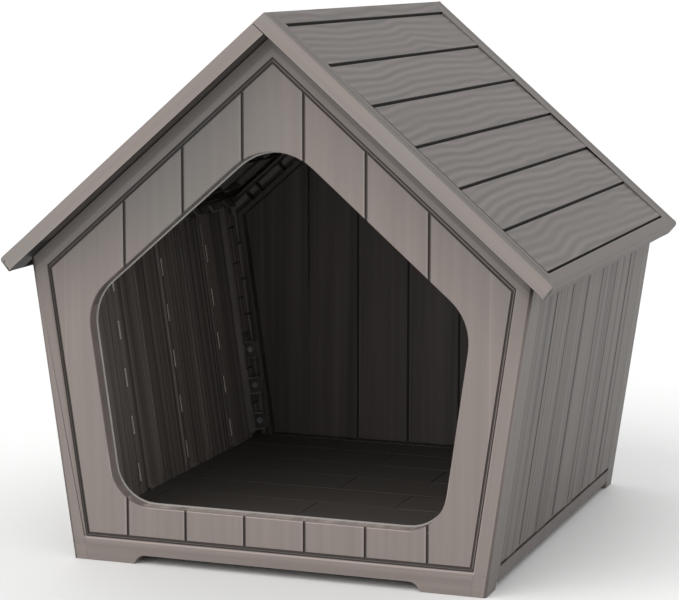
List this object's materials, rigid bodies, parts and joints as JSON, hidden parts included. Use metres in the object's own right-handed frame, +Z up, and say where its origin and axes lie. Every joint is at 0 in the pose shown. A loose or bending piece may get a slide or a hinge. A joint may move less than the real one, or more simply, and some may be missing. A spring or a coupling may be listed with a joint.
{
  "type": "outdoor cat house",
  "caption": "Moulded outdoor cat house with board-look panels, an open doorway, vented side walls, a floor tray and lift-off roof halves held by turn buttons.",
  "frame": {"origin": "middle of the whole object's footprint, on the ground", "axes": "+Z up, front doorway faces -Y, +X to the right seen from the front"},
  "size_m": [0.5964, 0.579, 0.5814],
  "materials": {
    "wall_plastic": "warm grey polypropylene with fine vertical wood grain",
    "roof_plastic": "warm grey polypropylene with wavy wood grain",
    "floor_plastic": "dark grey polypropylene, fine texture",
    "screw_steel": "zinc plated",
    "button_plastic": "black nylon"
  },
  "bodies": {
    "base": {"floor_tray": "floor_plastic", "front_panel": "wall_plastic", "back_panel": "wall_plastic", "left_side_panel": "wall_plastic", "right_side_panel": "wall_plastic", "front_left_corner_screws": "screw_steel", "front_right_corner_screws": "screw_steel", "back_left_corner_screws": "screw_steel", "back_right_corner_screws": "screw_steel", "front_floor_screws": "screw_steel", "back_floor_screws": "screw_steel", "pivot_screw_front_left": "screw_steel", "pivot_screw_front_right": "screw_steel", "pivot_screw_back_left": "screw_steel", "pivot_screw_back_right": "screw_steel"},
    "left_roof": {"left_roof_half": "roof_plastic"},
    "right_roof": {"right_roof_half": "roof_plastic"},
    "button_front_left": {"turn_button_front_left": "button_plastic"},
    "button_front_right": {"turn_button_front_right": "button_plastic"},
    "button_back_left": {"turn_button_back_left": "button_plastic"},
    "button_back_right": {"turn_button_back_right": "button_plastic"}
  },
  "joints": [
    {"name": "left_roof_lift", "type": "slide", "parent": "base", "child": "left_roof", "axis": [0, 0, 1], "range_m": [0, 0.2]},
    {"name": "right_roof_lift", "type": "slide", "parent": "left_roof", "child": "right_roof", "axis": [0, 0, 1], "range_m": [0, 0.2]},
    {"name": "front_left_button_turn", "type": "hinge", "parent": "base", "child": "button_front_left", "pos_m": [-0.11065, -0.2399, 0.43738], "axis": [0, 1, 0], "range_deg": [0, 90]},
    {"name": "front_right_button_turn", "type": "hinge", "parent": "base", "child": "button_front_right", "pos_m": [0.11065, -0.2399, 0.43738], "axis": [0, -1, 0], "range_deg": [0, 90]},
    {"name": "back_left_button_turn", "type": "hinge", "parent": "base", "child": "button_back_left", "pos_m": [-0.11065, 0.2469, 0.43738], "axis": [0, 1, 0], "range_deg": [0, 90]},
    {"name": "back_right_button_turn", "type": "hinge", "parent": "base", "child": "button_back_right", "pos_m": [0.11065, 0.2469, 0.43738], "axis": [0, -1, 0], "range_deg": [0, 90]}
  ]
}
